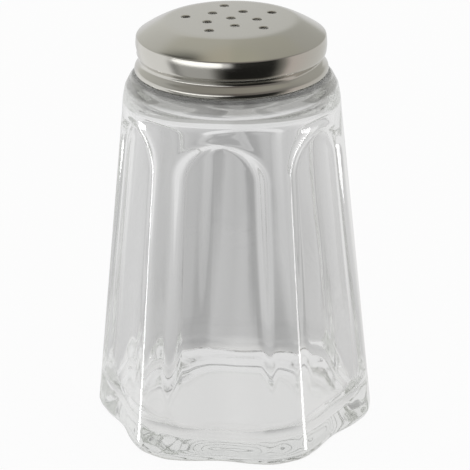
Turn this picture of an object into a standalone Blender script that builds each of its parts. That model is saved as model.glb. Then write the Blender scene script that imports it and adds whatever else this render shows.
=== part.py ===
"""Glass table shaker with a screw-on stainless cap, in metres, +Z up.

The origin is on the table, at the centre of the base. A panel faces -Y. The pieces
are the moulded glass jar, the pressed metal cap and the soft ring that seals them.
"""

import math

import bmesh
import bpy

# Jar body
JAR_HEIGHT = 0.0987
BASE_RADIUS = 0.0352
WALL = 0.0030
FLOOR_THICKNESS = 0.0032
BASE_EDGE_RADIUS = 0.0026
FLOOR_CORNER_RADIUS = 0.0085
FOOT_WIDTH = 0.0055
PUNT_DEPTH = 0.0012

# Arched panels pressed into the jar's sides
PANEL_COUNT = 6
PANEL_DEPTH = 0.0038
PANEL_TOP_DEPTH = 0.0020
PANEL_SPRING_HEIGHT = 0.0715
PANEL_ARCH_RISE = 0.0120

# Neck and shoulder
NECK_RADIUS = 0.0206
NECK_WALL = 0.0031
NECK_HEIGHT = 0.0083
NECK_FILLET = 0.0009
RIM_RADIUS = 0.0008
LEDGE_WIDTH = 0.00185
LEDGE_DROP = 0.0008
SHOULDER_SLOPE_WIDTH = 0.00115
SHOULDER_SLOPE_DROP = 0.0022
SHOULDER_WIDTH = 0.00075
SHOULDER_DROP = 0.0054

# Screw thread
THREAD_PITCH = 0.0042
THREAD_HEIGHT = 0.0009
THREAD_HALF_WIDTH = 0.0010
THREAD_CLEARANCE = 0.0009
THREAD_SEAT_RISE = 0.0015

# Cap, pressed from sheet
CAP_SHEET = 0.00045
CAP_FOOT_GAP = 0.0003
CAP_DISC_RADIUS = 0.0160
CAP_DISC_RISE = 0.0002
CAP_SLOPE_DROP = 0.0035
CAP_CORNER_RADIUS = 0.0006
CAP_BULGE = 0.00015
CAP_FLARE = 0.00055
CAP_CURL_RADIUS = 0.0011

# Rolled into the cap's skirt: a level ring, and the thread groove that rises out of it
RING_RISE = 0.00355
RING_HALF_WIDTH = 0.0020
RING_CLEARANCE = 0.00015
GROOVE_RISE = 0.0028
GROOVE_DEPTH = 0.0012
GROOVE_HALF_WIDTH = 0.0014

# Pouring holes
HOLE_RADIUS = 0.0011
HOLES_PER_RING = 5
HOLE_INNER_RING_RADIUS = 0.0063
HOLE_OUTER_RING_RADIUS = 0.0110
HOLE_CUT_OVERRUN = 0.0020

# Seal ring
SEAL_THICKNESS = 0.0010
SEAL_EDGE_GAP = 0.0008
SEAT_GAP = 0.0003

# Angles, in degrees, counted from -Y towards +X
THREAD_START = -200
THREAD_TURN = 360
THREAD_FADE = 35
GROOVE_START = 10
GROOVE_TURN = 287
GROOVE_FADE = 60
HOLE_FIRST_ANGLE = 123
PANEL_HALF_ANGLE = 26

# Shares, each of the size that it shapes
PANEL_HOLLOW_SHARES = (1.35, 0.80)
PANEL_BORDER_SHARE = 0.66
PANEL_INSIDE_SHARE = 0.70
PANEL_REFINED_SHARES = (0.50, 1.15)
PANEL_ROW_SHARES = (0.0, 0.40, 0.62, 0.76, 0.88, 1.0)
WALL_ROW_SHARES = (0.22, 0.44, 0.66, 0.84)
INSIDE_ROW_SHARES = (0.25, 0.50, 0.70, 0.83, 0.92)
INSIDE_SHOULDER_SHARES = (0.0, 0.25, 0.5, 0.75, 1.0)
SHOULDER_ROUND_SHARES = ((0.385, 0.21), (0.77, 0.53), (0.93, 0.77))
LEDGE_FLAT_SHARE = 0.3
PUNT_SHARES = ((0.86, 0.45), (0.55, 0.88))
FLOOR_ROW_SHARE = 0.6
CAP_DISC_SHARES = (0.45, 0.78, 1.0)
CAP_SLOPE_SHARES = (0.34, 0.67)
CAP_SLOPE_LINE_SHARE = 0.74
CAP_BULGE_SHARE = 0.45
CAP_FLARE_SHARE = 0.70

# Facets
JAR_COLUMNS = 60
CAP_COLUMNS = 48
HOLE_SIDES = 12
THREAD_ROWS = 10
SKIRT_ROWS = 13
ARC_STEPS = 3
MERGE_DISTANCE = 0.000001
SHARP_ANGLE = 40

# Worked out from the sizes above
NECK_FOOT_HEIGHT = JAR_HEIGHT - NECK_HEIGHT
MOUTH_RADIUS = NECK_RADIUS - NECK_WALL
CAP_INNER_RADIUS = NECK_RADIUS + THREAD_HEIGHT + THREAD_CLEARANCE
CAP_RADIUS = CAP_INNER_RADIUS + CAP_SHEET
LEDGE_RADIUS = CAP_RADIUS + LEDGE_WIDTH
LEDGE_HEIGHT = NECK_FOOT_HEIGHT - LEDGE_DROP
CORNER_RADIUS = LEDGE_RADIUS + SHOULDER_SLOPE_WIDTH
CORNER_HEIGHT = LEDGE_HEIGHT - SHOULDER_SLOPE_DROP
SHOULDER_RADIUS = CORNER_RADIUS + SHOULDER_WIDTH
SHOULDER_HEIGHT = CORNER_HEIGHT - SHOULDER_DROP
SEAL_BOTTOM = JAR_HEIGHT + SEAT_GAP
SEAL_TOP = SEAL_BOTTOM + SEAL_THICKNESS
SEAL_RADIUS = CAP_INNER_RADIUS - SEAL_EDGE_GAP
CAP_FOOT_HEIGHT = NECK_FOOT_HEIGHT + CAP_FOOT_GAP
CAP_CORNER_HEIGHT = SEAL_TOP - SEAT_GAP
RING_HEIGHT = CAP_FOOT_HEIGHT + RING_RISE
RING_DEPTH = THREAD_CLEARANCE - RING_CLEARANCE
GROOVE_HEIGHT = CAP_FOOT_HEIGHT + GROOVE_RISE
THREAD_MIDDLE = GROOVE_HEIGHT + THREAD_SEAT_RISE


def smooth(share):
    """Eased step from 0 to 1."""
    share = min(max(share, 0), 1)
    return share * share * (3 - 2 * share)


def mix(low, high, share):
    return low + (high - low) * share


def arc(centre_radius, centre_height, radius, start, end, steps=ARC_STEPS):
    """Points of a circular arc in the profile plane, with angles in degrees from +X."""
    points = []
    for step in range(steps + 1):
        angle = math.radians(mix(start, end, step / steps))
        across = centre_radius + radius * math.cos(angle)
        points.append((across, centre_height + radius * math.sin(angle)))
    return points


def ridge_radius(height):
    """Outside radius of the jar's straight taper, along its ridges."""
    return mix(BASE_RADIUS, SHOULDER_RADIUS, height / SHOULDER_HEIGHT)


def inside_radius(height):
    """Inside radius of the jar's body before the panels are pressed in."""
    return ridge_radius(height) - WALL


def panel_offset(angle):
    """Angle from the nearest panel's centre line."""
    panel_angle = 360 / PANEL_COUNT
    return (angle + panel_angle / 2) % panel_angle - panel_angle / 2


def panel_reach(angle, height):
    """0 on a panel's centre line and 1 along its arched border."""
    above_spring = max(0, height - PANEL_SPRING_HEIGHT) / PANEL_ARCH_RISE
    return math.hypot(panel_offset(angle) / PANEL_HALF_ANGLE, above_spring)


def panel_depth(angle, height):
    """How far the outside wall is pressed in. The hollow is rounder at the base than at the top."""
    rise = min(1, height / PANEL_SPRING_HEIGHT)
    across = (1 + math.cos(math.radians(panel_offset(angle) * PANEL_COUNT))) / 2
    hollow = across ** mix(*PANEL_HOLLOW_SHARES, rise)
    border = (panel_reach(angle, height) - PANEL_BORDER_SHARE) / (1 - PANEL_BORDER_SHARE)
    return mix(PANEL_DEPTH, PANEL_TOP_DEPTH, rise) * hollow * (1 - smooth(border))


def hump(distance, half_width):
    """Rounded hump: 1 in its middle, falling to 0 at its half width on either side."""
    return (1 + math.cos(math.pi * min(1, abs(distance) / half_width))) / 2


def helix_share(angle, height, middle, half_width, start, turn, fade):
    """How much of a helical ridge or groove there is at a point, from 0 to 1."""
    share = 0
    for winding in (-1, 0, 1):
        along = angle + 360 * winding
        if start < along < start + turn:
            ends = smooth((along - start) / fade) * smooth((start + turn - along) / fade)
            share = max(share, ends * hump(height - middle - THREAD_PITCH * along / 360, half_width))
    return share


def thread_share(angle, height):
    return helix_share(
        angle, height, THREAD_MIDDLE, THREAD_HALF_WIDTH, THREAD_START, THREAD_TURN, THREAD_FADE
    )


def groove_share(angle, height):
    return helix_share(
        angle, height, GROOVE_HEIGHT, GROOVE_HALF_WIDTH, GROOVE_START, GROOVE_TURN, GROOVE_FADE
    )


def jar_profile():
    """Outline of the jar: up the inside from the floor, over the rim and down the outside."""
    corner_top = FLOOR_THICKNESS + FLOOR_CORNER_RADIUS
    corner_centre = inside_radius(corner_top) - FLOOR_CORNER_RADIUS
    points = [(0, FLOOR_THICKNESS), (corner_centre * FLOOR_ROW_SHARE, FLOOR_THICKNESS)]
    points += arc(corner_centre, corner_top, FLOOR_CORNER_RADIUS, -90, 0)
    for share in INSIDE_ROW_SHARES:
        height = mix(corner_top, SHOULDER_HEIGHT, share)
        points.append((inside_radius(height), height))
    for share in INSIDE_SHOULDER_SHARES:
        height = mix(SHOULDER_HEIGHT, NECK_FOOT_HEIGHT, share)
        radius = mix(inside_radius(SHOULDER_HEIGHT), MOUTH_RADIUS, smooth(share))
        points.append((radius, height))
    rim_middle = JAR_HEIGHT - RIM_RADIUS
    points += arc(MOUTH_RADIUS + RIM_RADIUS, rim_middle, RIM_RADIUS, 180, 90)
    points += arc(NECK_RADIUS - RIM_RADIUS, rim_middle, RIM_RADIUS, 90, 0)
    fillet_top = NECK_FOOT_HEIGHT + NECK_FILLET
    for row in range(1, THREAD_ROWS):
        points.append((NECK_RADIUS, mix(rim_middle, fillet_top, row / THREAD_ROWS)))
    points += arc(NECK_RADIUS + NECK_FILLET, fillet_top, NECK_FILLET, 180, 270)
    points.append((mix(CAP_RADIUS, LEDGE_RADIUS, LEDGE_FLAT_SHARE), NECK_FOOT_HEIGHT))
    points += [(LEDGE_RADIUS, LEDGE_HEIGHT), (CORNER_RADIUS, CORNER_HEIGHT)]
    for across, down in SHOULDER_ROUND_SHARES:
        radius = mix(CORNER_RADIUS, SHOULDER_RADIUS, across)
        points.append((radius, mix(CORNER_HEIGHT, SHOULDER_HEIGHT, down)))
    for share in reversed(PANEL_ROW_SHARES):
        height = mix(PANEL_SPRING_HEIGHT, SHOULDER_HEIGHT, share)
        points.append((ridge_radius(height), height))
    for share in WALL_ROW_SHARES:
        height = mix(PANEL_SPRING_HEIGHT, BASE_EDGE_RADIUS, share)
        points.append((ridge_radius(height), height))
    edge_centre = ridge_radius(BASE_EDGE_RADIUS) - BASE_EDGE_RADIUS
    points += arc(edge_centre, BASE_EDGE_RADIUS, BASE_EDGE_RADIUS, 0, -90)
    foot_radius = edge_centre - FOOT_WIDTH
    points.append((foot_radius, 0))
    for across, up in PUNT_SHARES:
        points.append((foot_radius * across, PUNT_DEPTH * up))
    points.append((0, PUNT_DEPTH))
    return points


def cap_profile():
    """Outside of the cap's sheet, from the centre of its top down to the curled edge."""
    corner_centre = CAP_RADIUS - CAP_CORNER_RADIUS
    steepest_fall = CAP_SLOPE_DROP * (2 - CAP_SLOPE_LINE_SHARE)
    flattest = math.degrees(math.atan2(corner_centre - CAP_DISC_RADIUS, steepest_fall))
    corner = arc(corner_centre, CAP_CORNER_HEIGHT, CAP_CORNER_RADIUS, flattest, 0)
    slope_radius, slope_foot = corner[0]
    disc_edge = slope_foot + CAP_SLOPE_DROP
    points = [(0, disc_edge + CAP_DISC_RISE)]
    for share in CAP_DISC_SHARES:
        points.append((CAP_DISC_RADIUS * share, disc_edge + CAP_DISC_RISE * (1 - share * share)))
    for share in CAP_SLOPE_SHARES:
        fall = mix(share * share, share, CAP_SLOPE_LINE_SHARE)
        points.append((mix(CAP_DISC_RADIUS, slope_radius, share), disc_edge - CAP_SLOPE_DROP * fall))
    points += corner
    curl_top = CAP_FOOT_HEIGHT + CAP_CURL_RADIUS
    for row in range(1, SKIRT_ROWS):
        share = row / SKIRT_ROWS
        bulge = CAP_BULGE * math.sin(math.pi * min(1, share / CAP_BULGE_SHARE))
        flare = CAP_FLARE * smooth((share - CAP_FLARE_SHARE) / (1 - CAP_FLARE_SHARE))
        points.append((CAP_RADIUS + bulge + flare, mix(CAP_CORNER_HEIGHT, curl_top, share)))
    curl_centre = CAP_RADIUS + CAP_FLARE - CAP_CURL_RADIUS
    points += arc(curl_centre, curl_top, CAP_CURL_RADIUS, 0, -90)
    return points


def turned_mesh(name, outline, columns):
    """Mesh of an outline turned round the Z axis by a Screw modifier."""
    mesh = bpy.data.meshes.new(name)
    edges = [(index, index + 1) for index in range(len(outline) - 1)]
    mesh.from_pydata([(radius, 0, height) for radius, height in outline], edges, [])
    profile = bpy.data.objects.new(name + "_profile", mesh)
    bpy.context.scene.collection.objects.link(profile)
    screw = profile.modifiers.new("turn", "SCREW")
    screw.axis = "Z"
    screw.steps = columns
    screw.render_steps = columns
    screw.use_merge_vertices = True
    screw.merge_threshold = MERGE_DISTANCE
    depsgraph = bpy.context.evaluated_depsgraph_get()
    turned = bpy.data.meshes.new_from_object(profile.evaluated_get(depsgraph))
    bpy.data.objects.remove(profile)
    turned.name = name
    return turned


def angle_and_radius(point):
    """Angle in degrees from -Y towards +X, and distance from the Z axis."""
    return math.degrees(math.atan2(point.x, -point.y)), math.hypot(point.x, point.y)


def reshape(mesh, new_radius, refined=None):
    """Moves each vertex to the radius that new_radius gives for its angle, radius and height.

    The edges whose two ends are both in the refined zone are halved first.
    """
    shape = bmesh.new()
    shape.from_mesh(mesh)
    bmesh.ops.remove_doubles(shape, verts=shape.verts, dist=MERGE_DISTANCE)
    if refined:
        edges = [edge for edge in shape.edges if all(refined(end.co) for end in edge.verts)]
        bmesh.ops.subdivide_edges(shape, edges=edges, cuts=1, use_grid_fill=True)
    for vertex in shape.verts:
        angle, radius = angle_and_radius(vertex.co)
        if radius > MERGE_DISTANCE:
            scale = new_radius(angle, radius, vertex.co.z) / radius
            vertex.co.x *= scale
            vertex.co.y *= scale
    shape.to_mesh(mesh)
    shape.free()


def is_outside(radius, height):
    """Whether a point of the jar's body is on its outer skin."""
    under_floor = height < (PUNT_DEPTH + FLOOR_THICKNESS) / 2
    return under_floor or radius > ridge_radius(height) - WALL / 2


def on_arch(point):
    """Whether a point is on the outer skin, near the arched border of a panel."""
    angle, radius = angle_and_radius(point)
    low, high = PANEL_REFINED_SHARES
    near = low < panel_reach(angle, point.z) < high and point.z > PANEL_SPRING_HEIGHT
    return near and is_outside(radius, point.z)


def jar_radius(angle, radius, height):
    """Presses the panels into both sides of the jar's wall and raises the neck's thread."""
    if height > NECK_FOOT_HEIGHT:
        on_thread_side = radius > NECK_RADIUS - RIM_RADIUS
        return radius + THREAD_HEIGHT * thread_share(angle, height) * on_thread_side
    depth = panel_depth(angle, height)
    if is_outside(radius, height):
        return radius - depth * (radius / ridge_radius(height)) ** 2
    return radius - depth * PANEL_INSIDE_SHARE * (radius / inside_radius(height)) ** 2


def cap_radius(angle, radius, height):
    """Rolls the level ring and the thread groove into the cap's skirt."""
    ring = RING_DEPTH * hump(height - RING_HEIGHT, RING_HALF_WIDTH)
    return radius - max(ring, GROOVE_DEPTH * groove_share(angle, height))


def make_material(name, colour, roughness, metallic=0, transmission=0, ior=1.5):
    material = bpy.data.materials.new(name)
    material.use_nodes = True
    shader = material.node_tree.nodes["Principled BSDF"]
    shader.inputs["Base Color"].default_value = (*colour, 1)
    shader.inputs["Roughness"].default_value = roughness
    shader.inputs["Metallic"].default_value = metallic
    shader.inputs["Transmission Weight"].default_value = transmission
    shader.inputs["IOR"].default_value = ior
    return material


def place(mesh, name, material, collection):
    """One named object of the shaker, smooth but for its sharp edges."""
    mesh.shade_smooth()
    mesh.set_sharp_from_angle(angle=math.radians(SHARP_ANGLE))
    mesh.materials.append(material)
    piece = bpy.data.objects.new(name, mesh)
    collection.objects.link(piece)
    return piece


def make_jar(collection):
    mesh = turned_mesh("glass_jar", jar_profile(), JAR_COLUMNS)
    reshape(mesh, jar_radius, on_arch)
    glass = make_material("glass", (0.93, 0.95, 0.94), 0.02, transmission=1, ior=1.52)
    return place(mesh, "glass_jar", glass, collection)


def hole_places():
    """Centres of the pouring holes: one in the middle and two staggered rings."""
    places = [(0, 0)]
    spacing = 360 / HOLES_PER_RING
    rings = ((HOLE_OUTER_RING_RADIUS, 0), (HOLE_INNER_RING_RADIUS, spacing / 2))
    for radius, stagger in rings:
        for hole in range(HOLES_PER_RING):
            angle = math.radians(HOLE_FIRST_ANGLE + stagger + spacing * hole)
            places.append((radius * math.sin(angle), -radius * math.cos(angle)))
    return places


def make_hole_cutter(top, collection):
    """Straight pins through the cap's top, one for each hole."""
    shape = bmesh.new()
    depth = CAP_SHEET + CAP_DISC_RISE + HOLE_CUT_OVERRUN
    for across, away in hole_places():
        pin = bmesh.ops.create_cone(
            shape,
            cap_ends=True,
            segments=HOLE_SIDES,
            radius1=HOLE_RADIUS,
            radius2=HOLE_RADIUS,
            depth=2 * depth,
        )
        bmesh.ops.translate(shape, verts=pin["verts"], vec=(across, away, top))
    mesh = bpy.data.meshes.new("hole_cutter")
    shape.to_mesh(mesh)
    shape.free()
    cutter = bpy.data.objects.new("hole_cutter", mesh)
    collection.objects.link(cutter)
    cutter.hide_render = True
    cutter.display_type = "WIRE"
    return cutter


def make_cap(collection, cutters):
    profile = cap_profile()
    mesh = turned_mesh("screw_cap", profile, CAP_COLUMNS)
    reshape(mesh, cap_radius)
    steel = make_material("stainless_steel", (0.70, 0.69, 0.67), 0.28, metallic=1)
    cap = place(mesh, "screw_cap", steel, collection)
    sheet = cap.modifiers.new("sheet", "SOLIDIFY")
    sheet.thickness = CAP_SHEET
    sheet.offset = -1
    holes = cap.modifiers.new("holes", "BOOLEAN")
    holes.operation = "DIFFERENCE"
    holes.solver = "EXACT"
    holes.object = make_hole_cutter(profile[0][1], cutters)
    return cap


def make_seal(collection):
    inner_radius = MOUTH_RADIUS
    outline = [
        (inner_radius, SEAL_BOTTOM),
        (inner_radius, SEAL_TOP),
        (SEAL_RADIUS, SEAL_TOP),
        (SEAL_RADIUS, SEAL_BOTTOM),
        (inner_radius, SEAL_BOTTOM),
    ]
    mesh = turned_mesh("seal_ring", outline, CAP_COLUMNS)
    reshape(mesh, lambda angle, radius, height: radius)
    plastic = make_material("soft_liner", (0.90, 0.90, 0.88), 0.6)
    return place(mesh, "seal_ring", plastic, collection)


def add_pivot(name, collection, *pieces):
    """Empty on the screw axis that carries the pieces of one moving body."""
    pivot = bpy.data.objects.new(name, None)
    collection.objects.link(pivot)
    for piece in pieces:
        piece.parent = pivot
    return pivot


def main():
    for thing in list(bpy.data.objects):
        bpy.data.objects.remove(thing)
    shaker = bpy.data.collections.new("salt_shaker")
    cutters = bpy.data.collections.new("cutters")
    for collection in (shaker, cutters):
        bpy.context.scene.collection.children.link(collection)
    make_jar(shaker)
    lift = add_pivot("cap_lift", shaker, make_seal(shaker))
    turn = add_pivot("cap_turn", shaker, make_cap(shaker, cutters))
    turn.parent = lift


main()
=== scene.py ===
"""Looks of the glass table shaker: pressed clear jar, satin steel screw cap and soft liner ring.

Lengths are in metres, worked out from millimetres. Angles are in degrees, counted from -Y
towards +X, and the Z axis runs up through the middle of the jar.
"""

import math

import bmesh
import bpy
from mathutils import Matrix, Vector, noise


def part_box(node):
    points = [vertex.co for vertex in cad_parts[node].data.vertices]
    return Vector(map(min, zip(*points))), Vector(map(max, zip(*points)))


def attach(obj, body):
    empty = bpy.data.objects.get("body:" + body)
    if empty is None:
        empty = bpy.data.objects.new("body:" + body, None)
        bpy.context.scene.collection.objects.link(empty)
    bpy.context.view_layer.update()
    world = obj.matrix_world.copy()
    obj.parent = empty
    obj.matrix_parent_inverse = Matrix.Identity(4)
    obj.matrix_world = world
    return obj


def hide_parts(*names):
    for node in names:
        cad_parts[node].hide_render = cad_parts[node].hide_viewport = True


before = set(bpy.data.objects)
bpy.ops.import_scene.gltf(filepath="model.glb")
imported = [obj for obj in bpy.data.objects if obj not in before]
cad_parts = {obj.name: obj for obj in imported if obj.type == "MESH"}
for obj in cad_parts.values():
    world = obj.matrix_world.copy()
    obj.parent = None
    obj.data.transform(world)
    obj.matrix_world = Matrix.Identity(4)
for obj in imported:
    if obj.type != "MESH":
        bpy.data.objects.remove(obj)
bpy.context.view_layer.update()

MM = 0.001
JAR_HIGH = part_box("glass_jar")[1]
CAP_LOW, CAP_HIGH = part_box("screw_cap")
SEAL_LOW, SEAL_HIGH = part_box("seal_ring")

# Jar body
JAR_HEIGHT = JAR_HIGH.z
BASE_RADIUS = 35.2 * MM
WALL = 3.0 * MM
FLOOR_THICKNESS = 3.2 * MM
BASE_EDGE_RADIUS = 2.6 * MM
FLOOR_CORNER_RADIUS = 8.5 * MM
FOOT_WIDTH = 5.5 * MM
PUNT_DEPTH = 1.2 * MM
PUNT_STEEPNESS = 2.2

# Arched panels
PANEL_COUNT = 6
PANEL_DEPTH = 3.8 * MM
PANEL_TOP_DEPTH = 2.0 * MM
PANEL_SPRING_HEIGHT = 71.5 * MM
PANEL_ARCH_RISE = 10.8 * MM
PANEL_HALF_ANGLE = 26
PANEL_HOLLOW_SHARES = (1.35, 0.80)
PANEL_BORDER_SHARE = 0.66
OUTER_HOLLOW_SHARE = 0.90
PANEL_INSIDE_SHARE = 0.70

# Edge round each panel, where the plunger's rim left a crisp step: at the base and at the top
EDGE_STEP_LOW = 0.35 * MM
EDGE_STEP_HIGH = 0.75 * MM
EDGE_FLANK_LOW = 3.6 * MM
EDGE_FLANK_HIGH = 2.2 * MM
EDGE_ROUND = 0.36 * MM
EDGE_ARCH_RISE = 9.5 * MM
EDGE_ANGLE_LOW = 24.9
EDGE_ANGLE_HIGH = 22.6

# Neck, rim and shoulder
NECK_RADIUS = 20.6 * MM
NECK_WALL = 3.1 * MM
NECK_HEIGHT = 8.3 * MM
NECK_FILLET = 0.9 * MM
RIM_RADIUS = 0.8 * MM
LEDGE_WIDTH = 1.85 * MM
LEDGE_DROP = 0.8 * MM
LEDGE_START_SHARE = 0.3
SHOULDER_SLOPE_WIDTH = 1.15 * MM
SHOULDER_SLOPE_DROP = 2.2 * MM
SHOULDER_WIDTH = 0.75 * MM
SHOULDER_DROP = 5.4 * MM
SHOULDER_ROUND_POWER = 1.6

# Screw thread on the neck
THREAD_PITCH = 4.2 * MM
THREAD_HEIGHT = 0.9 * MM
THREAD_HALF_WIDTH = 1.0 * MM
THREAD_CLEARANCE = 0.9 * MM
THREAD_SEAT_RISE = 1.5 * MM
THREAD_START = -200
THREAD_TURN = 360
THREAD_FADE = 35

# Rolled into the cap's skirt: a level ring, and the thread groove that rises out of it
RING_RISE = 3.55 * MM
RING_HALF_WIDTH = 2.0 * MM
RING_CLEARANCE = 0.15 * MM
GROOVE_RISE = 2.8 * MM
GROOVE_DEPTH = 1.2 * MM
GROOVE_HALF_WIDTH = 1.4 * MM
GROOVE_START = 10
GROOVE_TURN = 287
GROOVE_FADE = 60

# Cap, pressed from sheet
CAP_SHEET = 0.45 * MM
CAP_DISC_RADIUS = 16.0 * MM
CAP_DISC_RISE = 0.2 * MM
CAP_DISC_ROUND = 0.45 * MM
CAP_SLOPE_DROP = 3.5 * MM
CAP_SLOPE_LINE_SHARE = 0.74
CAP_CORNER_RADIUS = 0.6 * MM
CAP_BULGE = 0.15 * MM
CAP_BULGE_SHARE = 0.45
CAP_FLARE = 0.55 * MM
CAP_FLARE_SHARE = 0.70
CAP_CURL_RADIUS = 1.1 * MM
HOLE_RADIUS = 1.1 * MM
HOLE_LIP = 0.25 * MM
HOLES_PER_RING = 5
HOLE_INNER_RING_RADIUS = 6.3 * MM
HOLE_OUTER_RING_RADIUS = 11.0 * MM
HOLE_FIRST_ANGLE = 123
HOLE_OVERRUN = 1.0 * MM
HOLE_PIN_RISE = 0.02 * MM

# Liner, die cut from sheet
LINER_EDGE_RADIUS = 0.15 * MM

# Uneven inner wall of pressed glass: how deep, and how wide and tall its waves are
WAVE_DEPTH = 0.16 * MM
WAVE_WIDTH = 11.0 * MM
WAVE_TALL = 30.0 * MM

# Fineness of the meshes: columns round a turned shape, rows along it and steps in its curves
JAR_COLUMNS = 300
CAP_COLUMNS = 192
HOLE_SIDES = 32
ROW = 1.0 * MM
FLOOR_ROW = 2 * ROW
PUNT_ROW = 1.5 * ROW
FINE_ROW = 0.45 * MM
FINEST_ROW = FINE_ROW / 2
FLOOR_CORNER_STEPS = 14
RIM_STEPS = 5
NECK_FILLET_STEPS = 6
BASE_EDGE_STEPS = 10
CAP_CORNER_STEPS = 8
CAP_CURL_STEPS = 6
HOLE_LIP_STEPS = 5
LINER_EDGE_STEPS = 3
SAME_POINT = 0.001 * MM
LARGEST_EXPONENT = 30

# How far, in degrees, the jar's columns are drawn towards a panel's edge and then spread again
COLUMN_DRAW = 7.4
COLUMN_SPREAD = 1.2

# Edges that turn by more than these angles are shaded crisp
JAR_SHARP_ANGLE = 50
CAP_SHARP_ANGLE = 40
LINER_SHARP_ANGLE = 60
UNCUT_CAP_SHARP_ANGLE = 180

# Worked out from the sizes above and from the frame
NECK_FOOT_HEIGHT = JAR_HEIGHT - NECK_HEIGHT
MOUTH_RADIUS = NECK_RADIUS - NECK_WALL
CAP_RADIUS = NECK_RADIUS + THREAD_HEIGHT + THREAD_CLEARANCE + CAP_SHEET
CAP_FOOT_HEIGHT = CAP_LOW.z
LEDGE_RADIUS = CAP_RADIUS + LEDGE_WIDTH
LEDGE_HEIGHT = NECK_FOOT_HEIGHT - LEDGE_DROP
CORNER_RADIUS = LEDGE_RADIUS + SHOULDER_SLOPE_WIDTH
CORNER_HEIGHT = LEDGE_HEIGHT - SHOULDER_SLOPE_DROP
SHOULDER_RADIUS = CORNER_RADIUS + SHOULDER_WIDTH
SHOULDER_HEIGHT = CORNER_HEIGHT - SHOULDER_DROP
ARCH_FOOT_HEIGHT = PANEL_SPRING_HEIGHT - PANEL_ARCH_RISE / 3
RING_HEIGHT = CAP_FOOT_HEIGHT + RING_RISE
RING_DEPTH = THREAD_CLEARANCE - RING_CLEARANCE
GROOVE_HEIGHT = CAP_FOOT_HEIGHT + GROOVE_RISE
THREAD_MIDDLE = GROOVE_HEIGHT + THREAD_SEAT_RISE

# Glass: size and depth of the ripples that the mould leaves, and the tint of its thickness
RIPPLE_SIZE = 4.0 * MM
RIPPLE_DETAIL = 1.0
RIPPLE_DEPTH = 0.03 * MM
RIPPLE_STRENGTH = 0.25
GLASS_IOR = 1.52
GLASS_TINT = "F1F2F0"
GLASS_TINT_DENSITY = 13.0

# Painted shade under the cap: greyer glass round the ledge, darkest at the neck's foot
SHADE_UNDER_CAP_LOW = CORNER_HEIGHT
SHADE_UNDER_CAP_HIGH = NECK_FOOT_HEIGHT + 1.0 * MM
SHADE_UNDER_CAP_STOPS = (
    (CORNER_HEIGHT + 0.2 * MM, "FFFFFF"), (CORNER_HEIGHT + 0.9 * MM, "A4A4A0"),
    (LEDGE_HEIGHT + 0.4 * MM, "A4A4A0"), (NECK_FOOT_HEIGHT - 0.1 * MM, "585856"),
    (NECK_FOOT_HEIGHT + 0.1 * MM, "585856"), (NECK_FOOT_HEIGHT + 0.5 * MM, "FFFFFF"),
)

# Steel: spacing and depth of its satin lines, and how far their pattern moves on in each radian
STEEL_COLOUR = "C9C7C1"
STEEL_ROUGHNESS = (0.13, 0.20)
LINE_SPACING = 0.30 * MM
LINE_DETAIL = 3.0
LINE_UNEVENNESS = 0.6
LINE_DEPTH = 0.01 * MM
LINE_STRENGTH = 0.05
LINE_RUN = 0.6 * MM

# Liner foam: its mottle and how matt it is
LINER_COLOURS = ("E4E4DE", "F0F0EC")
LINER_ROUGHNESS = 0.6
LINER_IOR = 1.5
MOTTLE_SIZE = 1.5 * MM
MOTTLE_DETAIL = 2.0

# Table: its disc, its paint, and how much of the paint's shading the camera's white covers
FLOOR_RADIUS = 3.0
FLOOR_SIDES = 96
FLOOR_DROP = 0.05 * MM
FLOOR_PAINT = "F4F4F2"
FLOOR_COVER = 0.95
WHITE = "FFFFFF"

# What the clear glass shows of the table, painted as the studio's uneven shade: bands behind it,
# a paler grey beside it from the first distance to the second, and a plain grey under it within
# the last two distances
BAND_REACH = 30
FLOOR_SIDE_COLOUR = "E8E8E8"
FLOOR_SIDE_FROM, FLOOR_SIDE_TO = 20 * MM, 140 * MM
FLOOR_UNDER_COLOUR = "E0E0DF"
FLOOR_UNDER_FROM, FLOOR_UNDER_TO = 37 * MM, 30 * MM

# Those painted shade bands, upright and soft, by their place across the table in millimetres
BAND_STOPS = (
    (-28, "BCBCBC"), (-21, "B6B6B6"), (-16, "B2B2B2"), (-13.5, "A2A2A2"), (-9, "A8A8A8"),
    (-6.5, "BEBEBE"), (-1, "B8B8B8"), (4, "BEBEBE"), (7, "BCBCBC"), (9.5, "9E9E9E"),
    (15, "A4A4A4"), (20, "B8B8B8"), (28, "C4C4C4"),
)

# Camera: where it aims, from where, and how long its lens is on a 36 mm sensor
CAMERA_AIM_HEIGHT = 47.711 * MM
CAMERA_AIM_ASIDE = 0.507 * MM
CAMERA_DISTANCE = 499 * MM
CAMERA_AZIMUTH = 6.68
CAMERA_ELEVATION = 22.728
CAMERA_ROLL = -0.481
CAMERA_LENS = 153.19
CAMERA_SENSOR = 36
CAMERA_NEAR_CLIP = 10 * MM

# Softboxes: name, azimuth from the camera's side, elevation, distance, width, height, brightness.
# The strips draw the white lines on the panels' edges, and the window lights the cap's left.
STRIPS = (
    ("strip_left", -105, -18.3, 1.1, 0.24, 0.26, 7.0),
    ("strip_right", 81, -18.3, 1.1, 0.24, 0.26, 7.0),
)
CAP_WINDOW = ("softbox_left", -42, -1, 1.0, 1.20, 0.16, 1.3)

# Room: its plain light, and the grey that the clear glass shows of it
ROOM_COLOUR = "C8C8C8"
ROOM_THROUGH_GLASS = "E4E4E4"

# Light may turn this often inside the thick base before it is given up
LIGHT_BOUNCES = 128

# Sockets of a colour Mix node
MIX_SHARE, MIX_FIRST, MIX_SECOND, MIX_RESULT = 0, 6, 7, 2

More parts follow.
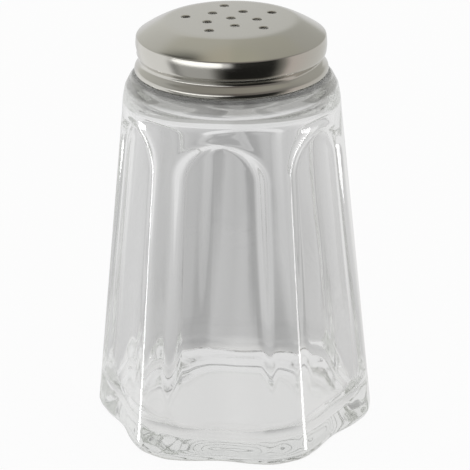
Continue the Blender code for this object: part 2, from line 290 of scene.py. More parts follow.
# Studio that the metal mirrors, as colours round the horizon from the camera's side
TABLE_STOPS = (
    (-180, "B1AFA0"), (-90, "B0AEA4"), (-30, "706E68"), (50, "605E58"), (80, "96948A"),
    (180, "B1AFA0"),
)
LOW_STOPS = (
    (-180, "E6E6E7"), (-150, "EAEAEA"), (-140, "FFFFFF"), (-84, "FFFFFF"), (-74, "888886"),
    (-62, "BEBEBC"), (-28, "BCBCBA"), (-16, "605F5C"), (-6, "1E1E1C"), (52, "262624"),
    (65, "8A8882"), (75, "D6CDC8"), (110, "DAD8D4"), (150, "E2E2E0"), (180, "E6E6E7"),
)
SILL_STOPS = (
    (-180, "E6E6E7"), (-150, "EAEAEA"), (-140, "FFFFFF"), (-4, "FFFFFF"), (3, "30302E"),
    (52, "262624"), (65, "8A8882"), (75, "D6CDC8"), (110, "DAD8D4"), (150, "E2E2E0"),
    (180, "E6E6E7"),
)
WINDOW_STOPS = (
    (-180, "DADAD7"), (-165, "E0E0DC"), (-134, "D4D4CF"), (-94, "C4C4C0"), (-60, "A2A09C"),
    (-20, "8A8682"), (0, "726C68"), (60, "8A8682"), (110, "B8B6B0"), (165, "C0C0BA"),
    (180, "DADAD7"),
)
HIGH_STOPS = (
    (-180, "CBCAC0"), (-137, "CBCAC0"), (-124, "5A5A56"), (-98, "5A5A56"), (-84, "A09E98"),
    (20, "A09C94"), (100, "B4B2A8"), (180, "C4C3B8"),
)
CEILING_STOPS = ((-180, "CAC5B6"), (180, "BEBDAE"))

# Levels of that studio above the table, each blended in between two elevations
MIRRORED_LEVELS = (
    (LOW_STOPS, -65, -40), (SILL_STOPS, -9, -5), (WINDOW_STOPS, 4, 12), (HIGH_STOPS, 38, 50),
    (CEILING_STOPS, 65, 80),
)


def smooth(share):
    """Eased step from 0 to 1."""
    share = min(max(share, 0), 1)
    return share * share * (3 - 2 * share)


def mix(low, high, share):
    return low + (high - low) * share


def arc(centre_radius, centre_height, radius, start, end, steps):
    """Points of a circular arc in the profile plane, with angles in degrees from +X."""
    points = []
    for step in range(steps + 1):
        angle = math.radians(mix(start, end, step / steps))
        across = centre_radius + radius * math.cos(angle)
        points.append((across, centre_height + radius * math.sin(angle)))
    return points


def rows_between(start, end, spacing):
    """Shares from 0 to 1, without both ends, for evenly spaced rows between two heights."""
    count = max(1, round(abs(end - start) / spacing))
    return [row / count for row in range(1, count)]


def ridge_radius(height):
    return mix(BASE_RADIUS, SHOULDER_RADIUS, height / SHOULDER_HEIGHT)


def inside_radius(height):
    return ridge_radius(height) - WALL


def panel_offset(angle):
    """Angle from the nearest panel's centre line."""
    panel_angle = 360 / PANEL_COUNT
    return (angle + panel_angle / 2) % panel_angle - panel_angle / 2


def panel_reach(angle, height):
    """0 on a panel's centre line and 1 along its arched border."""
    above_spring = max(0, height - PANEL_SPRING_HEIGHT) / PANEL_ARCH_RISE
    return math.hypot(panel_offset(angle) / PANEL_HALF_ANGLE, above_spring)


def panel_depth(angle, height):
    """How far the wall is pressed in, as a soft hollow."""
    rise = min(1, height / PANEL_SPRING_HEIGHT)
    across = (1 + math.cos(math.radians(panel_offset(angle) * PANEL_COUNT))) / 2
    hollow = across ** mix(*PANEL_HOLLOW_SHARES, rise)
    border = (panel_reach(angle, height) - PANEL_BORDER_SHARE) / (1 - PANEL_BORDER_SHARE)
    return mix(PANEL_DEPTH, PANEL_TOP_DEPTH, rise) * hollow * (1 - smooth(border))


def edge_step(angle, height):
    """Depth of the crisp step that runs round each panel, on the outside of the wall."""
    rise = min(1, height / PANEL_SPRING_HEIGHT)
    edge_angle = mix(EDGE_ANGLE_LOW, EDGE_ANGLE_HIGH, rise)
    above_spring = max(0, height - PANEL_SPRING_HEIGHT) / EDGE_ARCH_RISE
    reach = math.hypot(panel_offset(angle) / edge_angle, above_spring)
    inside_edge = (1 - reach) * math.radians(edge_angle) * ridge_radius(height)
    exponent = min(inside_edge / EDGE_ROUND, LARGEST_EXPONENT)
    inside_edge = EDGE_ROUND * math.log1p(math.exp(exponent))
    flank = min(1, inside_edge / mix(EDGE_FLANK_LOW, EDGE_FLANK_HIGH, rise))
    return mix(EDGE_STEP_LOW, EDGE_STEP_HIGH, rise) * math.sin(math.pi / 2 * flank)


def hump(distance, half_width):
    """Rounded hump: 1 in its middle, falling to 0 at its half width on either side."""
    return (1 + math.cos(math.pi * min(1, abs(distance) / half_width))) / 2


def helix_share(angle, height, middle, half_width, start, turn, fade):
    """How much of a helical ridge or groove there is at a point, from 0 to 1."""
    share = 0
    for winding in (-1, 0, 1):
        along = angle + 360 * winding
        if start < along < start + turn:
            ends = smooth((along - start) / fade) * smooth((start + turn - along) / fade)
            above = height - middle - THREAD_PITCH * along / 360
            share = max(share, ends * hump(above, half_width))
    return share


def thread_share(angle, height):
    return helix_share(
        angle, height, THREAD_MIDDLE, THREAD_HALF_WIDTH, THREAD_START, THREAD_TURN, THREAD_FADE
    )


def groove_share(angle, height):
    return helix_share(
        angle, height, GROOVE_HEIGHT, GROOVE_HALF_WIDTH, GROOVE_START, GROOVE_TURN, GROOVE_FADE
    )


def jar_profile():
    """Outline of the jar: up the inside from the floor, over the rim and down the outside."""
    corner_top = FLOOR_THICKNESS + FLOOR_CORNER_RADIUS
    corner_centre = inside_radius(corner_top) - FLOOR_CORNER_RADIUS
    points = [(0, FLOOR_THICKNESS)]
    for share in rows_between(0, corner_centre, FLOOR_ROW):
        points.append((corner_centre * share, FLOOR_THICKNESS))
    points += arc(corner_centre, corner_top, FLOOR_CORNER_RADIUS, -90, 0, FLOOR_CORNER_STEPS)
    for share in rows_between(corner_top, SHOULDER_HEIGHT, ROW):
        height = mix(corner_top, SHOULDER_HEIGHT, share)
        points.append((inside_radius(height), height))
    for share in [0] + rows_between(SHOULDER_HEIGHT, NECK_FOOT_HEIGHT, FINE_ROW) + [1]:
        height = mix(SHOULDER_HEIGHT, NECK_FOOT_HEIGHT, share)
        radius = mix(inside_radius(SHOULDER_HEIGHT), MOUTH_RADIUS, smooth(share))
        points.append((radius, height))
    rim_middle = JAR_HEIGHT - RIM_RADIUS
    for share in rows_between(NECK_FOOT_HEIGHT, rim_middle, ROW):
        points.append((MOUTH_RADIUS, mix(NECK_FOOT_HEIGHT, rim_middle, share)))
    points += arc(MOUTH_RADIUS + RIM_RADIUS, rim_middle, RIM_RADIUS, 180, 90, RIM_STEPS)
    points += arc(NECK_RADIUS - RIM_RADIUS, rim_middle, RIM_RADIUS, 90, 0, RIM_STEPS)
    fillet_top = NECK_FOOT_HEIGHT + NECK_FILLET
    for share in rows_between(rim_middle, fillet_top, FINEST_ROW):
        points.append((NECK_RADIUS, mix(rim_middle, fillet_top, share)))
    fillet_centre = NECK_RADIUS + NECK_FILLET
    points += arc(fillet_centre, fillet_top, NECK_FILLET, 180, 270, NECK_FILLET_STEPS)
    return points + ledge_points() + shoulder_and_side_points() + base_points()


def ledge_points():
    """Nearly flat ledge round the cap's foot, then the short slope down to the shoulder."""
    ledge_start = mix(CAP_RADIUS, LEDGE_RADIUS, LEDGE_START_SHARE)
    points = [(ledge_start, NECK_FOOT_HEIGHT)]
    for share in rows_between(ledge_start, LEDGE_RADIUS, FINEST_ROW) + [1]:
        fall = LEDGE_DROP * share ** 2
        points.append((mix(ledge_start, LEDGE_RADIUS, share), NECK_FOOT_HEIGHT - fall))
    for share in rows_between(LEDGE_HEIGHT, CORNER_HEIGHT, FINE_ROW) + [1]:
        height = mix(LEDGE_HEIGHT, CORNER_HEIGHT, share)
        points.append((mix(LEDGE_RADIUS, CORNER_RADIUS, share), height))
    return points


def shoulder_and_side_points():
    """Rounded shoulder, then the straight taper, finely stepped where the panels arch."""
    points = []
    for share in rows_between(CORNER_HEIGHT, SHOULDER_HEIGHT, FINE_ROW):
        widening = 1 - (1 - share) ** SHOULDER_ROUND_POWER
        radius = mix(CORNER_RADIUS, SHOULDER_RADIUS, widening)
        points.append((radius, mix(CORNER_HEIGHT, SHOULDER_HEIGHT, share)))
    for high, low, spacing in (
        (SHOULDER_HEIGHT, ARCH_FOOT_HEIGHT, FINE_ROW),
        (ARCH_FOOT_HEIGHT, BASE_EDGE_RADIUS, ROW),
    ):
        for share in [0] + rows_between(high, low, spacing):
            height = mix(high, low, share)
            points.append((ridge_radius(height), height))
    return points


def base_points():
    """Rounded edge of the base, the foot ring and the shallow punt inside it."""
    edge_centre = ridge_radius(BASE_EDGE_RADIUS) - BASE_EDGE_RADIUS
    points = arc(edge_centre, BASE_EDGE_RADIUS, BASE_EDGE_RADIUS, 0, -90, BASE_EDGE_STEPS)
    foot_radius = edge_centre - FOOT_WIDTH
    for share in rows_between(edge_centre, foot_radius, ROW) + [1]:
        points.append((mix(edge_centre, foot_radius, share), 0))
    for share in rows_between(foot_radius, 0, PUNT_ROW):
        hollow = PUNT_DEPTH * smooth(share * PUNT_STEEPNESS)
        points.append((foot_radius * (1 - share), hollow))
    points.append((0, PUNT_DEPTH))
    return points


def cap_profile():
    """Outside of the cap's sheet, from the centre of its top down to the curled edge."""
    corner_centre = CAP_RADIUS - CAP_CORNER_RADIUS
    corner_height = CAP_HIGH.z - CAP_DISC_RISE - CAP_SLOPE_DROP
    steepest_fall = CAP_SLOPE_DROP * (2 - CAP_SLOPE_LINE_SHARE)
    flattest = math.degrees(math.atan2(corner_centre - CAP_DISC_RADIUS, steepest_fall))
    corner_height -= CAP_CORNER_RADIUS * math.sin(math.radians(flattest))
    corner = arc(
        corner_centre, corner_height, CAP_CORNER_RADIUS, flattest, 0, CAP_CORNER_STEPS
    )
    slope_radius, slope_foot = corner[0]
    disc_edge = slope_foot + CAP_SLOPE_DROP
    points = []
    for share in [0] + rows_between(0, slope_radius, FINE_ROW):
        radius = slope_radius * share
        rise = CAP_DISC_RISE * max(0, 1 - (radius / CAP_DISC_RADIUS) ** 2)
        exponent = (radius - CAP_DISC_RADIUS) / CAP_DISC_ROUND
        beyond = math.log1p(math.exp(exponent)) * CAP_DISC_ROUND
        beyond /= slope_radius - CAP_DISC_RADIUS
        fall = mix(beyond * beyond, beyond, CAP_SLOPE_LINE_SHARE)
        points.append((radius, disc_edge + rise - CAP_SLOPE_DROP * fall))
    points += corner
    curl_top = CAP_FOOT_HEIGHT + CAP_CURL_RADIUS
    for share in rows_between(corner_height, curl_top, FINEST_ROW):
        bulge = CAP_BULGE * math.sin(math.pi * min(1, share / CAP_BULGE_SHARE))
        flare = CAP_FLARE * smooth((share - CAP_FLARE_SHARE) / (1 - CAP_FLARE_SHARE))
        points.append((CAP_RADIUS + bulge + flare, mix(corner_height, curl_top, share)))
    curl_centre = CAP_RADIUS + CAP_FLARE - CAP_CURL_RADIUS
    points += arc(curl_centre, curl_top, CAP_CURL_RADIUS, 0, -90, CAP_CURL_STEPS)
    return points


def turned(outline, columns):
    """Bmesh of an outline spun a full turn round the Z axis."""
    shape = bmesh.new()
    corners = [shape.verts.new((radius, 0, height)) for radius, height in outline]
    for start, end in zip(corners, corners[1:]):
        shape.edges.new((start, end))
    bmesh.ops.spin(
        shape,
        geom=shape.verts[:] + shape.edges[:],
        cent=(0, 0, 0),
        axis=(0, 0, 1),
        angle=math.tau,
        steps=columns,
        use_merge=True,
    )
    bmesh.ops.remove_doubles(shape, verts=shape.verts, dist=SAME_POINT)
    bmesh.ops.recalc_face_normals(shape, faces=shape.faces)
    return shape


def crowded(angle):
    """Angle of a column once it is drawn towards its panel's edges, where the glass turns."""
    offset = panel_offset(angle)
    turn = math.radians(offset * PANEL_COUNT)
    return angle + COLUMN_SPREAD * math.sin(2 * turn) + COLUMN_DRAW * math.sin(turn)


def reshape(shape, new_radius, new_angle=None):
    """Moves each vertex to the radius that new_radius gives for its angle, radius and height."""
    for vertex in shape.verts:
        radius = math.hypot(vertex.co.x, vertex.co.y)
        if radius > SAME_POINT:
            angle = math.degrees(math.atan2(vertex.co.x, -vertex.co.y))
            if new_angle:
                angle = new_angle(angle)
            radius = new_radius(angle, radius, vertex.co.z)
            vertex.co.x = radius * math.sin(math.radians(angle))
            vertex.co.y = -radius * math.cos(math.radians(angle))


def wave(angle, height):
    """Soft unevenness of the inner wall, fading out towards the floor and the neck."""
    turn = math.radians(angle)
    around = inside_radius(height) / WAVE_WIDTH
    place = Vector((around * math.cos(turn), around * math.sin(turn), height / WAVE_TALL))
    fade = smooth((height - FLOOR_THICKNESS) / FLOOR_CORNER_RADIUS)
    fade *= smooth((NECK_FOOT_HEIGHT - height) / NECK_HEIGHT)
    return WAVE_DEPTH * fade * noise.noise(place)


def jar_radius(angle, radius, height):
    """Presses the panels into both sides of the wall and raises the neck's thread."""
    if height > NECK_FOOT_HEIGHT:
        on_thread_side = radius > NECK_RADIUS - RIM_RADIUS
        return radius + THREAD_HEIGHT * thread_share(angle, height) * on_thread_side
    depth = panel_depth(angle, height)
    if height < (PUNT_DEPTH + FLOOR_THICKNESS) / 2 or radius > ridge_radius(height) - WALL / 2:
        pressed = max(depth * OUTER_HOLLOW_SHARE, 0) + edge_step(angle, height)
        return radius - pressed * (radius / ridge_radius(height)) ** 2
    pressed = radius - depth * PANEL_INSIDE_SHARE * (radius / inside_radius(height)) ** 2
    return pressed + wave(angle, height)


def cap_radius(angle, radius, height):
    """Rolls the level ring and the thread groove into the cap's skirt."""
    ring = RING_DEPTH * hump(height - RING_HEIGHT, RING_HALF_WIDTH)
    return radius - max(ring, GROOVE_DEPTH * groove_share(angle, height))


def to_linear(hex_colour):
    """Linear red, green, blue and 1 of an sRGB colour written as six hex digits."""
    channels = []
    for start in (0, 2, 4):
        value = int(hex_colour[start : start + 2], 16) / 255
        channels.append(value / 12.92 if value <= 0.04045 else ((value + 0.055) / 1.055) ** 2.4)
    return (*channels, 1)


def add_node(tree, kind, values=None, links=None, **settings):
    """Adds a node, sets its settings and input values, and links its inputs to other outputs."""
    node = tree.nodes.new(kind)
    for name, value in settings.items():
        setattr(node, name, value)
    for name, value in (values or {}).items():
        node.inputs[name].default_value = value
    for name, output in (links or {}).items():
        tree.links.new(output, node.inputs[name])
    return node


def maths(tree, operation, first, second=None, clamp=False):
    """Output of a Math node on one or two values, each a number or a node's output."""
    node = add_node(tree, "ShaderNodeMath", operation=operation, use_clamp=clamp)
    for socket, value in enumerate((first, second)):
        if isinstance(value, bpy.types.NodeSocket):
            tree.links.new(value, node.inputs[socket])
        elif value is not None:
            node.inputs[socket].default_value = value
    return node.outputs[0]


def mix_colours(tree, share, first, second):
    """Output of a Mix node on two colours, each six hex digits or a node's output."""
    node = add_node(tree, "ShaderNodeMix", links={MIX_SHARE: share}, data_type="RGBA")
    for socket, colour in ((MIX_FIRST, first), (MIX_SECOND, second)):
        if isinstance(colour, str):
            node.inputs[socket].default_value = to_linear(colour)
        else:
            tree.links.new(colour, node.inputs[socket])
    return node.outputs[MIX_RESULT]


def set_stops(node, low, high, stops):
    """Fills a colour ramp that spans low to high with stops of a place and a colour each."""
    ramp = node.color_ramp
    middle = 0.5
    for _ in stops[2:]:
        ramp.elements.new(middle)
    for element, (place, colour) in zip(ramp.elements, stops):
        element.position = (place - low) / (high - low)
        element.color = to_linear(colour)


def new_material(name):
    """Empty node material with an output."""
    material = bpy.data.materials.new(name)
    material.use_nodes = True
    tree = material.node_tree
    tree.nodes.clear()
    return material, tree, tree.nodes.new("ShaderNodeOutputMaterial")


def make_jar_glass():
    """Soda-lime glass, pressed in a mould: clear, with a faint green in its thickness, and
    painted shade greying it round the ledge under the cap.
    """
    material, tree, output = new_material("soda_lime_glass_pressed")
    place = add_node(tree, "ShaderNodeTexCoord")
    ripple = add_node(
        tree, "ShaderNodeTexNoise",
        {"Scale": 1 / RIPPLE_SIZE, "Detail": RIPPLE_DETAIL},
        {"Vector": place.outputs["Object"]},
    )
    bump = add_node(
        tree, "ShaderNodeBump",
        {"Strength": RIPPLE_STRENGTH, "Distance": RIPPLE_DEPTH},
        {"Height": ripple.outputs["Fac"]},
    )
    # Painted shade under the cap: the glass's colour greys on the ledge and is darkest at the
    # neck's foot
    axes = add_node(tree, "ShaderNodeSeparateXYZ", links={"Vector": place.outputs["Object"]})
    up_the_neck = add_node(
        tree, "ShaderNodeMapRange",
        {"From Min": SHADE_UNDER_CAP_LOW, "From Max": SHADE_UNDER_CAP_HIGH},
        {"Value": axes.outputs["Z"]},
    )
    shade_under_cap = add_node(tree, "ShaderNodeValToRGB", links={"Fac": up_the_neck.outputs["Result"]})
    set_stops(shade_under_cap, SHADE_UNDER_CAP_LOW, SHADE_UNDER_CAP_HIGH, SHADE_UNDER_CAP_STOPS)
    glass = add_node(
        tree, "ShaderNodeBsdfPrincipled",
        {"Roughness": 0.0, "IOR": GLASS_IOR, "Transmission Weight": 1.0},
        {"Base Color": shade_under_cap.outputs["Color"], "Normal": bump.outputs["Normal"]},
    )
    depth = add_node(
        tree, "ShaderNodeVolumeAbsorption",
        {"Color": to_linear(GLASS_TINT), "Density": GLASS_TINT_DENSITY},
    )
    tree.links.new(glass.outputs["BSDF"], output.inputs["Surface"])
    tree.links.new(depth.outputs["Volume"], output.inputs["Volume"])
    return material


def make_cap_steel():
    """Stainless sheet, pressed and satin finished: fine lines run round the turned shape."""
    material, tree, output = new_material("stainless_steel_satin")
    place = add_node(tree, "ShaderNodeTexCoord")
    axes = add_node(tree, "ShaderNodeSeparateXYZ", links={"Vector": place.outputs["Object"]})
    x_squared = maths(tree, "POWER", axes.outputs["X"], 2.0)
    y_squared = maths(tree, "POWER", axes.outputs["Y"], 2.0)
    radius = maths(tree, "POWER", maths(tree, "ADD", x_squared, y_squared), 0.5)
    turn = maths(tree, "ARCTAN2", axes.outputs["X"], axes.outputs["Y"])
    run = maths(tree, "MULTIPLY", turn, LINE_RUN)
    along = add_node(
        tree, "ShaderNodeCombineXYZ",
        links={"X": radius, "Y": run, "Z": axes.outputs["Z"]},
    )
    lines = add_node(
        tree, "ShaderNodeTexNoise",
        {"Scale": 1 / LINE_SPACING, "Detail": LINE_DETAIL, "Roughness": LINE_UNEVENNESS},
        {"Vector": along.outputs["Vector"]},
    )
    rough = add_node(
        tree, "ShaderNodeMapRange",
        {"To Min": STEEL_ROUGHNESS[0], "To Max": STEEL_ROUGHNESS[1]},
        {"Value": lines.outputs["Fac"]},
    )
    bump = add_node(
        tree, "ShaderNodeBump",
        {"Strength": LINE_STRENGTH, "Distance": LINE_DEPTH},
        {"Height": lines.outputs["Fac"]},
    )
    steel = add_node(
        tree, "ShaderNodeBsdfPrincipled",
        {"Base Color": to_linear(STEEL_COLOUR), "Metallic": 1.0},
        {"Roughness": rough.outputs["Result"], "Normal": bump.outputs["Normal"]},
    )
    tree.links.new(steel.outputs["BSDF"], output.inputs["Surface"])
    return material


def make_liner_plastic():
    """Polyethylene foam liner, die cut: matt, milky and faintly mottled."""
    material, tree, output = new_material("polyethylene_liner_cut")
    place = add_node(tree, "ShaderNodeTexCoord")
    mottle = add_node(
        tree, "ShaderNodeTexNoise",
        {"Scale": 1 / MOTTLE_SIZE, "Detail": MOTTLE_DETAIL},
        {"Vector": place.outputs["Object"]},
    )
    colour = mix_colours(tree, mottle.outputs["Fac"], *LINER_COLOURS)
    plastic = add_node(
        tree, "ShaderNodeBsdfPrincipled",
        {"Roughness": LINER_ROUGHNESS, "IOR": LINER_IOR},
        {"Base Color": colour},
    )
    tree.links.new(plastic.outputs["BSDF"], output.inputs["Surface"])
    return material


def finish_piece(shape, name, material, sharp_angle):
    """Turns a bmesh into a smooth-shaded object with its place in its mesh."""
    mesh = bpy.data.meshes.new(name)
    shape.to_mesh(mesh)
    shape.free()
    mesh.shade_smooth()
    mesh.set_sharp_from_angle(angle=math.radians(sharp_angle))
    mesh.materials.append(material)
    piece = bpy.data.objects.new(name, mesh)
    bpy.context.scene.collection.objects.link(piece)
    return piece


def make_jar():
    """Jar turned to its outline, then pressed in at its panels and raised at its thread."""
    shape = turned(jar_profile(), JAR_COLUMNS)
    reshape(shape, jar_radius, crowded)
    jar = finish_piece(shape, "pressed_glass_jar", make_jar_glass(), JAR_SHARP_ANGLE)
    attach(jar, "jar")
    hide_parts("glass_jar")
    return jar


def hole_places():
    """Distance from the axis and angle of each pouring hole."""
    spacing = 360 / HOLES_PER_RING
    places = [(0, 0)]
    for radius, stagger in ((HOLE_OUTER_RING_RADIUS, 0), (HOLE_INNER_RING_RADIUS, spacing / 2)):
        for hole in range(HOLES_PER_RING):
            places.append((radius, HOLE_FIRST_ANGLE + stagger + spacing * hole))
    return places


def make_hole_cutter(top):
    """Trumpet-shaped pins, each square to the domed top, that leave a rounded lip on a hole."""
    shape = bmesh.new()
    lip = arc(HOLE_RADIUS + HOLE_LIP, -HOLE_LIP, HOLE_LIP, 90, 180, HOLE_LIP_STEPS)
    outline = [(0, HOLE_OVERRUN), (HOLE_RADIUS + 2 * HOLE_LIP, HOLE_OVERRUN)]
    outline += [(HOLE_RADIUS + 2 * HOLE_LIP, HOLE_PIN_RISE)] + lip
    outline += [(HOLE_RADIUS, -HOLE_OVERRUN - CAP_SHEET), (0, -HOLE_OVERRUN - CAP_SHEET)]
    pin_mesh = bpy.data.meshes.new("hole_pin")
    for radius, angle in hole_places():
        pin = turned(outline, HOLE_SIDES)
        share = radius / CAP_DISC_RADIUS
        lean = math.atan2(2 * CAP_DISC_RISE * share, CAP_DISC_RADIUS)
        height = top - CAP_DISC_RISE * share * share
        place = Matrix.Rotation(math.radians(angle), 4, "Z")
        place = place @ Matrix.Translation((0, -radius, height))
        bmesh.ops.transform(pin, matrix=place @ Matrix.Rotation(lean, 4, "X"), verts=pin.verts)
        pin.to_mesh(pin_mesh)
        pin.free()
        shape.from_mesh(pin_mesh)
    mesh = bpy.data.meshes.new("hole_cutter")
    shape.to_mesh(mesh)
    shape.free()
    cutter = bpy.data.objects.new("hole_cutter", mesh)
    bpy.context.scene.collection.objects.link(cutter)
    return cutter


def make_cap():
    """Sheet turned to the cap's outline, thickened inwards and pierced, with crisp edges last."""
    profile = cap_profile()
    shape = turned(profile, CAP_COLUMNS)
    reshape(shape, cap_radius)
    cap = finish_piece(shape, "satin_steel_cap", make_cap_steel(), UNCUT_CAP_SHARP_ANGLE)
    sheet = cap.modifiers.new("sheet", "SOLIDIFY")
    sheet.thickness = CAP_SHEET
    sheet.offset = -1
    holes = cap.modifiers.new("holes", "BOOLEAN")
    holes.operation = "DIFFERENCE"
    holes.solver = "EXACT"
    cutter = make_hole_cutter(profile[0][1])
    holes.object = cutter
    depsgraph = bpy.context.evaluated_depsgraph_get()
    cut = bpy.data.meshes.new_from_object(cap.evaluated_get(depsgraph))
    cap.modifiers.clear()
    cap.data = cut
    bpy.data.objects.remove(cutter)
    cut.shade_smooth()
    cut.set_sharp_from_angle(angle=math.radians(CAP_SHARP_ANGLE))
    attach(cap, "cap")
    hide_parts("screw_cap")
    return cap


def make_liner():
    """Flat ring with softly rounded edges between the rim and the cap."""
    inner, outer = MOUTH_RADIUS, SEAL_HIGH.x
    edge = LINER_EDGE_RADIUS
    low, high = SEAL_LOW.z + edge, SEAL_HIGH.z - edge
    outline = []
    for across, height, start in (
        (inner + edge, low, 270), (inner + edge, high, 180),
        (outer - edge, high, 90), (outer - edge, low, 0),
    ):
        outline += arc(across, height, edge, start, start - 90, LINER_EDGE_STEPS)
    shape = turned(outline + outline[:1], CAP_COLUMNS)
    liner = finish_piece(shape, "soft_liner_ring", make_liner_plastic(), LINER_SHARP_ANGLE)
    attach(liner, "seal")
    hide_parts("seal_ring")


def direction(azimuth, elevation):
    """Unit vector out from the jar, with the azimuth counted from the camera's side."""
    turn, lift = math.radians(azimuth + CAMERA_AZIMUTH), math.radians(elevation)
    level = math.cos(lift)
    return Vector((math.sin(turn) * level, -math.cos(turn) * level, math.sin(lift)))


def add_camera():
    """Camera at the picture's angle, with a long lens."""
    data = bpy.data.cameras.new("camera")
    data.lens = CAMERA_LENS
    data.sensor_width = CAMERA_SENSOR
    data.clip_start = CAMERA_NEAR_CLIP
    camera = bpy.data.objects.new("camera", data)
    bpy.context.scene.collection.objects.link(camera)
    aim = direction(90, 0) * CAMERA_AIM_ASIDE + Vector((0, 0, CAMERA_AIM_HEIGHT))
    back = direction(0, CAMERA_ELEVATION)
    turn = back.to_track_quat("Z", "Y").to_matrix().to_4x4()
    turn = turn @ Matrix.Rotation(math.radians(CAMERA_ROLL), 4, "Z")
    camera.matrix_world = Matrix.Translation(aim + back * CAMERA_DISTANCE) @ turn
    bpy.context.scene.camera = camera


def add_softbox(name, azimuth, elevation, distance, width, height, brightness):
    """White rectangular lamp that faces the jar, as bright as a mirror would show it."""
    data = bpy.data.lights.new(name, "AREA")
    data.shape = "RECTANGLE"
    data.size = width
    data.size_y = height
    data.energy = brightness * math.pi * width * height
    data.color = to_linear(WHITE)[:3]
    lamp = bpy.data.objects.new(name, data)
    out = direction(azimuth, elevation)
    lamp.location = out * distance + Vector((0, 0, CAMERA_AIM_HEIGHT))
    lamp.rotation_euler = out.to_track_quat("Z", "Y").to_euler()
    lamp.visible_camera = False
    bpy.context.scene.collection.objects.link(lamp)
    return lamp


def table_through_glass(tree):
    """Colour that clear glass shows of the table, painted shade: bands behind it, greys beside
    and under it.
    """
    place = add_node(tree, "ShaderNodeTexCoord")
    aligned = add_node(
        tree, "ShaderNodeVectorRotate",
        {"Angle": math.radians(-CAMERA_AZIMUTH)},
        {"Vector": place.outputs["Object"]},
        rotation_type="Z_AXIS",
    )
    axes = add_node(tree, "ShaderNodeSeparateXYZ", links={"Vector": aligned.outputs["Vector"]})
    side_share = add_node(
        tree, "ShaderNodeMapRange",
        {"From Min": FLOOR_SIDE_FROM, "From Max": FLOOR_SIDE_TO},
        {"Value": maths(tree, "ABSOLUTE", axes.outputs["X"])},
        interpolation_type="SMOOTHSTEP",
    )
    across = add_node(
        tree, "ShaderNodeMapRange",
        {"From Min": -BAND_REACH * MM, "From Max": BAND_REACH * MM},
        {"Value": axes.outputs["X"]},
    )
    bands = add_node(tree, "ShaderNodeValToRGB", links={"Fac": across.outputs["Result"]})
    set_stops(bands, -BAND_REACH, BAND_REACH, BAND_STOPS)
    distance = add_node(
        tree, "ShaderNodeVectorMath", links={0: place.outputs["Object"]}, operation="LENGTH"
    )
    under_share = add_node(
        tree, "ShaderNodeMapRange",
        {"From Min": FLOOR_UNDER_FROM, "From Max": FLOOR_UNDER_TO},
        {"Value": distance.outputs["Value"]},
        interpolation_type="SMOOTHSTEP",
    )
    sideways = mix_colours(
        tree, side_share.outputs["Result"], bands.outputs["Color"], FLOOR_SIDE_COLOUR
    )
    return mix_colours(tree, under_share.outputs["Result"], sideways, FLOOR_UNDER_COLOUR)


def make_table_paint():
    """Matt table paint: nearly even white to the camera, which still shows a faint shadow."""
    material, tree, output = new_material("table_paint_matt")
    ray = add_node(tree, "ShaderNodeLightPath")
    paint = add_node(tree, "ShaderNodeBsdfDiffuse", {"Color": to_linear(FLOOR_PAINT)})
    by_object = maths(
        tree, "ADD", ray.outputs["Is Glossy Ray"], ray.outputs["Is Transmission Ray"], clamp=True
    )
    share = maths(tree, "ADD", ray.outputs["Is Camera Ray"], by_object, clamp=True)
    tint = mix_colours(tree, by_object, WHITE, table_through_glass(tree))
    glow = add_node(tree, "ShaderNodeEmission", {"Strength": 1.0}, {"Color": tint})
    cover = maths(tree, "MULTIPLY", share, FLOOR_COVER)
    surface = add_node(
        tree, "ShaderNodeMixShader",
        links={0: cover, 1: paint.outputs["BSDF"], 2: glow.outputs["Emission"]},
    )
    tree.links.new(surface.outputs["Shader"], output.inputs["Surface"])
    return material


def add_floor():
    """Pale table under the shaker, which stands just clear of it."""
    shape = bmesh.new()
    bmesh.ops.create_circle(shape, cap_ends=True, segments=FLOOR_SIDES, radius=FLOOR_RADIUS)
    bmesh.ops.translate(shape, verts=shape.verts, vec=(0, 0, -FLOOR_DROP))
    mesh = bpy.data.meshes.new("floor")
    shape.to_mesh(mesh)
    shape.free()
    mesh.materials.append(make_table_paint())
    floor = bpy.data.objects.new("floor", mesh)
    bpy.context.scene.collection.objects.link(floor)
    floor.visible_glossy = False


def azimuth_ramp(tree, round_share, stops):
    """Colour that runs round the horizon, from stops of an angle and a colour each."""
    walls = add_node(tree, "ShaderNodeValToRGB", links={"Fac": round_share})
    set_stops(walls, -180, 180, stops)
    return walls.outputs["Color"]


def blend_upwards(tree, height, low, high, start, end):
    """Blends one colour into the next between two elevations."""
    share = add_node(
        tree, "ShaderNodeMapRange",
        {"From Min": math.sin(math.radians(start)), "From Max": math.sin(math.radians(end))},
        {"Value": height},
        interpolation_type="SMOOTHSTEP",
    )
    return mix_colours(tree, share.outputs["Result"], low, high)


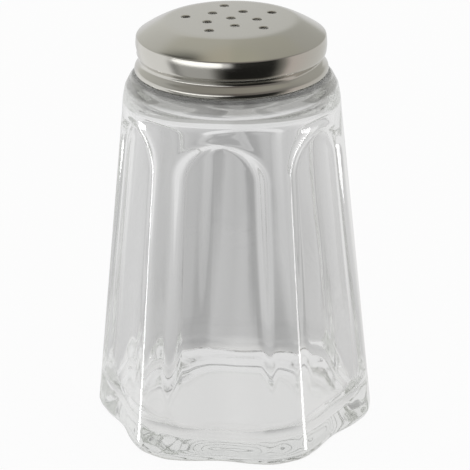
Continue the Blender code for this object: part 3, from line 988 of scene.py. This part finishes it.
def add_world():
    """Plain soft room light, white to the camera, and the studio that the metal mirrors."""
    world = bpy.data.worlds.new("studio")
    bpy.context.scene.world = world
    world.use_nodes = True
    tree = world.node_tree
    tree.nodes.clear()
    output = tree.nodes.new("ShaderNodeOutputWorld")
    ray = add_node(tree, "ShaderNodeLightPath")
    place = add_node(tree, "ShaderNodeTexCoord")
    spin = add_node(
        tree, "ShaderNodeVectorRotate",
        {"Angle": math.radians(-CAMERA_AZIMUTH)},
        {"Vector": place.outputs["Generated"]},
        rotation_type="Z_AXIS",
    )
    axes = add_node(tree, "ShaderNodeSeparateXYZ", links={"Vector": spin.outputs["Vector"]})
    front = maths(tree, "MULTIPLY", axes.outputs["Y"], -1.0)
    round_share = add_node(
        tree, "ShaderNodeMapRange",
        {"From Min": -math.pi, "From Max": math.pi},
        {"Value": maths(tree, "ARCTAN2", axes.outputs["X"], front)},
    )
    around, height = round_share.outputs["Result"], axes.outputs["Z"]
    mirrored = azimuth_ramp(tree, around, TABLE_STOPS)
    for stops, start, end in MIRRORED_LEVELS:
        walls = azimuth_ramp(tree, around, stops)
        mirrored = blend_upwards(tree, height, mirrored, walls, start, end)
    room = mix_colours(tree, ray.outputs["Is Glossy Ray"], ROOM_COLOUR, mirrored)
    through = mix_colours(tree, ray.outputs["Is Transmission Ray"], room, ROOM_THROUGH_GLASS)
    seen = mix_colours(tree, ray.outputs["Is Camera Ray"], through, WHITE)
    light = add_node(tree, "ShaderNodeBackground", {"Strength": 1.0}, {"Color": seen})
    tree.links.new(light.outputs["Background"], output.inputs["Surface"])


glass_only = bpy.data.collections.new("glass_only")
glass_only.objects.link(make_jar())
cap_only = bpy.data.collections.new("cap_only")
cap_only.objects.link(make_cap())
make_liner()
add_camera()
for settings in STRIPS:
    strip = add_softbox(*settings)
    strip.visible_transmission = False
    strip.light_linking.receiver_collection = glass_only
window = add_softbox(*CAP_WINDOW)
window.light_linking.receiver_collection = cap_only
add_floor()
add_world()
scene = bpy.context.scene
scene.view_settings.view_transform = "Standard"
scene.cycles.max_bounces = LIGHT_BOUNCES
scene.cycles.glossy_bounces = LIGHT_BOUNCES
scene.cycles.transmission_bounces = LIGHT_BOUNCES
